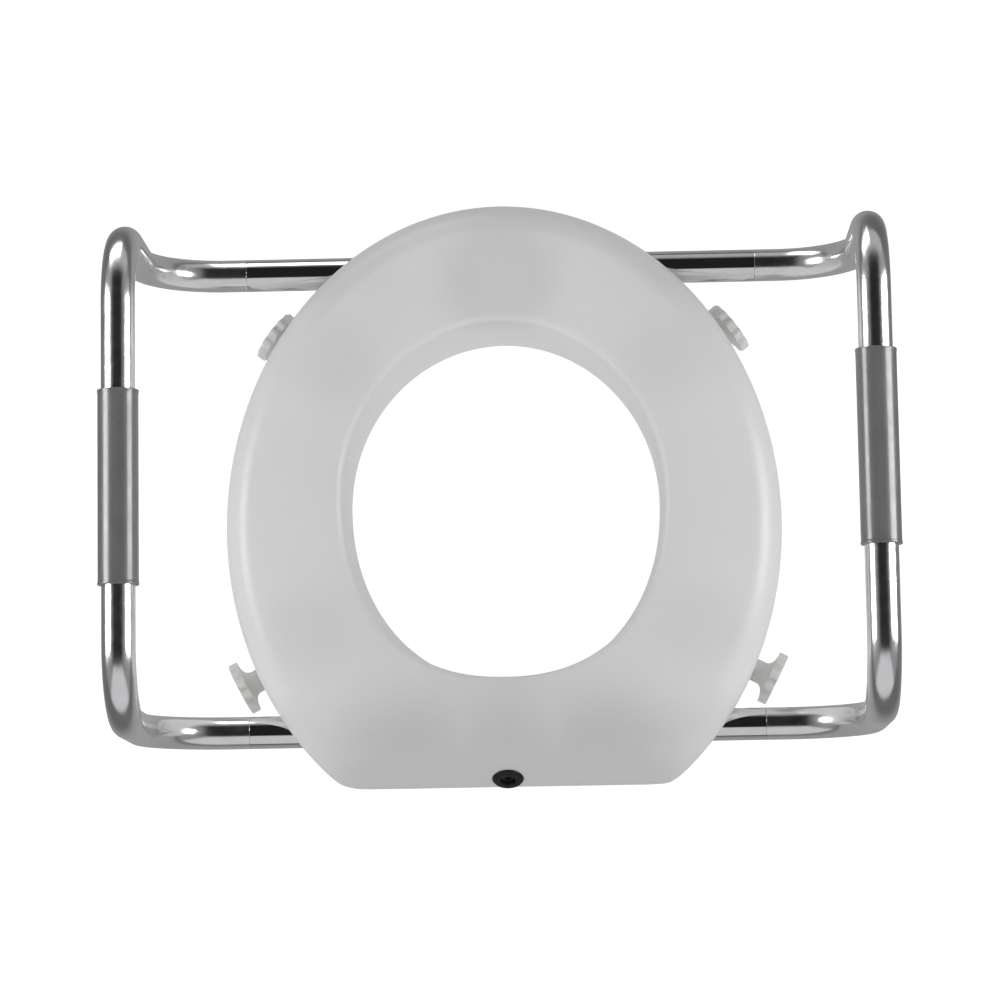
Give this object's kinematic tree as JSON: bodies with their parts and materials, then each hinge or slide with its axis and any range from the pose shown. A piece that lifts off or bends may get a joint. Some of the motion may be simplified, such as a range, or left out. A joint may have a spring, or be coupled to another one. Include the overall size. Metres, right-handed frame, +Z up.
{
  "type": "raised toilet seat",
  "caption": "Moulded toilet seat riser with an oval hole, bent tube armrests with grips, and hand screws that clamp the bowl rim.",
  "frame": {"origin": "under the middle of the seat, at the height of the skirt's lower edge", "axes": "+Z up, +X to the right as seen from the front, -Y towards the flat front of the seat"},
  "size_m": [0.5944, 0.4609, 0.2696],
  "materials": {
    "seat_plastic": "milky white moulded polyethylene, satin gloss, fine moulded grain",
    "chromed_tube": "bright mirror chrome plate",
    "satin_tube": "polished and clear anodised, faint drawing lines",
    "grip_vinyl": "soft grey vinyl sleeve, satin sheen",
    "knob_plastic": "light warm grey moulded plastic",
    "zinc_steel": "zinc plated",
    "strap_steel": "pressed strip, zinc plated",
    "pad_rubber": "black moulded rubber, matte",
    "insert_brass": "turned brass",
    "bush_plastic": "black moulded plastic, satin",
    "black_steel": "black oxide"
  },
  "bodies": {
    "root": {"seat_shell": "seat_plastic", "rear_cross_tube": "chromed_tube", "front_cross_tube": "chromed_tube", "clamp_inserts": "insert_brass", "rear_left_saddle": "strap_steel", "rear_right_saddle": "strap_steel", "front_left_saddle": "strap_steel", "front_right_saddle": "strap_steel", "saddle_screws": "zinc_steel", "arm_lock_screws": "zinc_steel", "rim_pads": "pad_rubber", "front_bush": "bush_plastic", "front_screw": "black_steel", "front_tube_nut": "zinc_steel"},
    "left_arm": {"left_arm_tube": "satin_tube", "left_grip": "grip_vinyl"},
    "right_arm": {"right_arm_tube": "satin_tube", "right_grip": "grip_vinyl"},
    "front_left_clamp_pad": {"front_left_pad": "pad_rubber"},
    "front_left_clamp_screw": {"front_left_knob": "knob_plastic", "front_left_stud": "zinc_steel"},
    "front_right_clamp_pad": {"front_right_pad": "pad_rubber"},
    "front_right_clamp_screw": {"front_right_knob": "knob_plastic", "front_right_stud": "zinc_steel"},
    "rear_left_clamp_pad": {"rear_left_pad": "pad_rubber"},
    "rear_left_clamp_screw": {"rear_left_knob": "knob_plastic", "rear_left_stud": "zinc_steel"},
    "rear_right_clamp_pad": {"rear_right_pad": "pad_rubber"},
    "rear_right_clamp_screw": {"rear_right_knob": "knob_plastic", "rear_right_stud": "zinc_steel"}
  },
  "joints": [
    {"name": "left_arm_pull", "type": "slide", "parent": "root", "child": "left_arm", "axis": [-1, 0, 0], "range_m": [0, 0.08]},
    {"name": "right_arm_pull", "type": "slide", "parent": "root", "child": "right_arm", "axis": [1, 0, 0], "range_m": [0, 0.08]},
    {"name": "front_left_pad_travel", "type": "slide", "parent": "root", "child": "front_left_clamp_pad", "axis": [-0.891, -0.454, 0], "range_m": [0, 0.009]},
    {"name": "front_left_knob_turn", "type": "hinge", "parent": "front_left_clamp_pad", "child": "front_left_clamp_screw", "pos_m": [-0.2101, -0.1422, 0.03], "axis": [-0.891, -0.454, 0], "range_deg": [0, 1081]},
    {"name": "front_right_pad_travel", "type": "slide", "parent": "root", "child": "front_right_clamp_pad", "axis": [0.891, -0.454, 0], "range_m": [0, 0.009]},
    {"name": "front_right_knob_turn", "type": "hinge", "parent": "front_right_clamp_pad", "child": "front_right_clamp_screw", "pos_m": [0.2101, -0.1422, 0.03], "axis": [0.891, -0.454, 0], "range_deg": [0, 1081]},
    {"name": "rear_left_pad_travel", "type": "slide", "parent": "root", "child": "rear_left_clamp_pad", "axis": [-0.788, 0.6157, 0], "range_m": [0, 0.009]},
    {"name": "rear_left_knob_turn", "type": "hinge", "parent": "rear_left_clamp_pad", "child": "rear_left_clamp_screw", "pos_m": [-0.1822, 0.1408, 0.03], "axis": [-0.788, 0.6157, 0], "range_deg": [0, 1081]},
    {"name": "rear_right_pad_travel", "type": "slide", "parent": "root", "child": "rear_right_clamp_pad", "axis": [0.788, 0.6157, 0], "range_m": [0, 0.009]},
    {"name": "rear_right_knob_turn", "type": "hinge", "parent": "rear_right_clamp_pad", "child": "rear_right_clamp_screw", "pos_m": [0.1822, 0.1408, 0.03], "axis": [0.788, 0.6157, 0], "range_deg": [0, 1081]}
  ],
  "couplings": [
    {"joint": "front_left_knob_turn", "follows": "front_left_pad_travel", "rad_per_m": 2094.4},
    {"joint": "front_right_knob_turn", "follows": "front_right_pad_travel", "rad_per_m": 2094.4},
    {"joint": "rear_left_knob_turn", "follows": "rear_left_pad_travel", "rad_per_m": 2094.4},
    {"joint": "rear_right_knob_turn", "follows": "rear_right_pad_travel", "rad_per_m": 2094.4}
  ]
}
